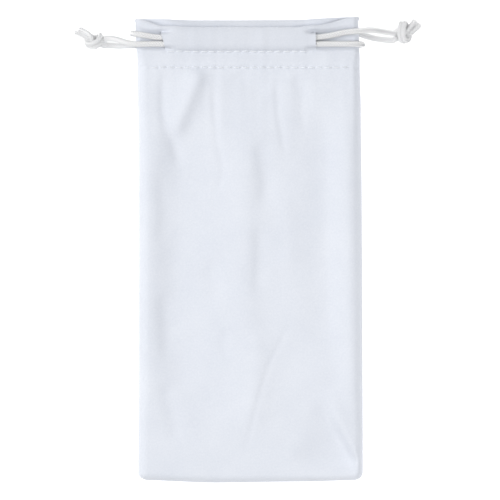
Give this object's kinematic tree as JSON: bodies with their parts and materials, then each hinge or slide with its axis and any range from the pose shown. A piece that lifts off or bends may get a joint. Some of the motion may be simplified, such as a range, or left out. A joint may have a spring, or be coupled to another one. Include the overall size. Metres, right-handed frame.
{
  "type": "soft pouch glasses case",
  "caption": "Soft microfibre drawstring pouch for glasses, whose mouth is gathered by two knotted cord loops pulled from opposite sides.",
  "frame": {"origin": "under the middle of the pouch, on the surface that it lies on", "axes": "+X to the right of the front face, +Y towards the mouth, +Z out of the front face"},
  "size_m": [0.1408, 0.1871, 0.0122],
  "materials": {
    "microfibre": "matt cool white microfibre with a very fine nap",
    "sewing_thread": "white spun polyester thread with a slight lustre",
    "braided_cord": "white round braided polyester cord"
  },
  "bodies": {
    "pouch": {"front_panel": "microfibre", "back_panel": "microfibre", "front_hem_channel": "microfibre", "back_hem_channel": "microfibre", "left_side_seam": "microfibre", "right_side_seam": "microfibre", "bottom_seam": "microfibre", "left_seam_thread": "sewing_thread", "right_seam_thread": "sewing_thread", "bottom_seam_thread": "sewing_thread", "front_hem_upper_stitching": "sewing_thread", "front_hem_lower_stitching": "sewing_thread", "back_hem_upper_stitching": "sewing_thread", "back_hem_lower_stitching": "sewing_thread"},
    "left_cord": {"left_drawcord": "braided_cord", "left_knot": "braided_cord", "left_cord_tail_1": "braided_cord", "left_cord_tail_2": "braided_cord"},
    "right_cord": {"right_drawcord": "braided_cord", "right_knot": "braided_cord", "right_cord_tail_1": "braided_cord", "right_cord_tail_2": "braided_cord"},
    "left_corner": {"left_mouth_corner": "microfibre"},
    "right_corner": {"right_mouth_corner": "microfibre"}
  },
  "joints": [
    {"name": "left_cord_pull", "type": "slide", "parent": "pouch", "child": "left_cord", "axis": [-1, 0, 0], "range_m": [0, 0.028]},
    {"name": "right_cord_pull", "type": "slide", "parent": "pouch", "child": "right_cord", "axis": [1, 0, 0], "range_m": [0, 0.028]},
    {"name": "right_mouth_gather", "type": "slide", "parent": "pouch", "child": "right_corner", "axis": [-1, 0, 0], "range_m": [0, 0.028], "deforming": ["front_hem_channel", "back_hem_channel", "front_hem_upper_stitching", "front_hem_lower_stitching", "back_hem_upper_stitching", "back_hem_lower_stitching"]},
    {"name": "left_mouth_gather", "type": "slide", "parent": "pouch", "child": "left_corner", "axis": [1, 0, 0], "range_m": [0, 0.028], "deforming": ["front_hem_channel", "back_hem_channel", "front_hem_upper_stitching", "front_hem_lower_stitching", "back_hem_upper_stitching", "back_hem_lower_stitching"]}
  ],
  "couplings": [
    {"joint": "right_mouth_gather", "follows": "left_cord_pull", "ratio": 1},
    {"joint": "left_mouth_gather", "follows": "right_cord_pull", "ratio": 1}
  ]
}
